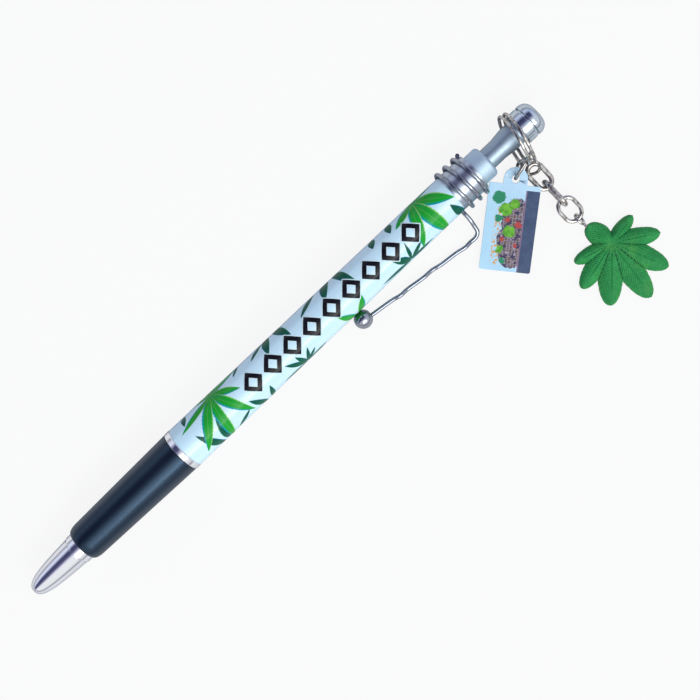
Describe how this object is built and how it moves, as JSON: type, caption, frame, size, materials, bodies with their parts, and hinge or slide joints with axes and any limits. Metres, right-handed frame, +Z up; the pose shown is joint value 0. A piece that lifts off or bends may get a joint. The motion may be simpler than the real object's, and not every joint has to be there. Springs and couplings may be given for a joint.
{
  "type": "click ball pen",
  "caption": "Click ball pen with a rubber grip, a coiled wire clip, and a split ring behind the button that holds a printed tag and a leaf charm on a short chain.",
  "frame": {"origin": "centre of the button's flat end face, on the pen's axis", "axes": "+X along the pen's axis out of the button's end (the writing end points to -X), +Z up from the table the pen lies on, -Y towards the tag and the leaf charm"},
  "size_m": [0.1475, 0.0496, 0.0122],
  "materials": {
    "bright_metal": "polished",
    "grip_rubber": "satin",
    "inner_plastic": "plain",
    "barrel_plastic": "glossy, printed",
    "satin_metal": "satin",
    "cam_plastic": "plain",
    "point_brass": "turned",
    "spring_steel": "drawn",
    "nickel": "plated",
    "tag_print": "printed",
    "charm_resin": "moulded"
  },
  "bodies": {
    "barrel": {"nose_cone": "bright_metal", "rubber_grip": "grip_rubber", "grip_tube": "inner_plastic", "grip_ring": "bright_metal", "barrel": "barrel_plastic", "coil_sleeve": "bright_metal", "cam_housing": "satin_metal", "clip_coil": "bright_metal", "return_spring": "spring_steel"},
    "clip": {"clip_arm": "bright_metal", "clip_ball": "bright_metal"},
    "button": {"plunger": "satin_metal", "button_cap": "satin_metal", "thrust_crown": "cam_plastic"},
    "refill": {"refill_tube": "inner_plastic", "refill_point": "point_brass", "writing_ball": "spring_steel", "cam_rotor": "cam_plastic"},
    "split_ring": {"split_ring": "nickel"},
    "tag_ring": {"tag_ring": "nickel"},
    "tag": {"tag": "tag_print"},
    "chain_ring": {"chain_ring": "nickel"},
    "link_1": {"chain_link_1": "nickel"},
    "link_2": {"chain_link_2": "nickel"},
    "link_3": {"chain_link_3": "nickel"},
    "leaf": {"leaf_eye": "nickel", "leaf_charm": "charm_resin"}
  },
  "joints": [
    {"name": "button_press", "type": "slide", "parent": "barrel", "child": "button", "axis": [-1, 0, 0], "range_m": [0, 0.005], "stiffness_N_per_m": 300, "springref_m": -0.004},
    {"name": "refill_advance", "type": "slide", "parent": "barrel", "child": "refill", "axis": [-1, 0, 0], "range_m": [0, 0.005], "deforming": ["return_spring"]},
    {"name": "clip_flex", "type": "hinge", "parent": "barrel", "child": "clip", "pos_m": [-0.02414, -0.00343, -0.00343], "axis": [0, -0.4226, 0.9063], "range_deg": [0, 15], "stiffness_Nm_per_rad": 0.4},
    {"name": "split_ring_turn", "type": "hinge", "parent": "barrel", "child": "split_ring", "pos_m": [-0.0069, 0, 0], "axis": [1, 0, 0], "range_deg": [-120, 0]},
    {"name": "tag_ring_swing", "type": "hinge", "parent": "split_ring", "child": "tag_ring", "pos_m": [-0.00823, -0.00673, 0.00126], "axis": [0.0151, -0.0774, -0.9969], "range_deg": [-7, 0]},
    {"name": "tag_swing", "type": "hinge", "parent": "tag_ring", "child": "tag", "pos_m": [-0.0119, -0.00681, -0.0019], "axis": [-0.6455, 0.7638, 0], "range_deg": [0, 3]},
    {"name": "chain_ring_swing", "type": "hinge", "parent": "split_ring", "child": "chain_ring", "pos_m": [-0.00902, -0.00558, -0.00231], "axis": [0.1559, 0.5327, -0.8318], "range_deg": [-12, 4]},
    {"name": "link_1_swing", "type": "hinge", "parent": "chain_ring", "child": "link_1", "pos_m": [-0.00712, -0.00889, -0.00232], "axis": [0.5215, 0.2234, 0.8235], "range_deg": [-4, 3]},
    {"name": "link_2_swing", "type": "hinge", "parent": "link_1", "child": "link_2", "pos_m": [-0.0079, -0.01293, -0.00341], "axis": [-1, 0, 0], "range_deg": [-5, 75]},
    {"name": "link_3_swing", "type": "hinge", "parent": "link_2", "child": "link_3", "pos_m": [-0.00795, -0.0179, -0.00325], "axis": [0, 0, 1], "range_deg": [-25, 45]},
    {"name": "leaf_swing", "type": "hinge", "parent": "link_3", "child": "leaf", "pos_m": [-0.00795, -0.02199, -0.00394], "axis": [-1, 0, 0], "range_deg": [-5, 75]}
  ],
  "couplings": [
    {"joint": "refill_advance", "follows": "button_press", "ratio": 1}
  ]
}
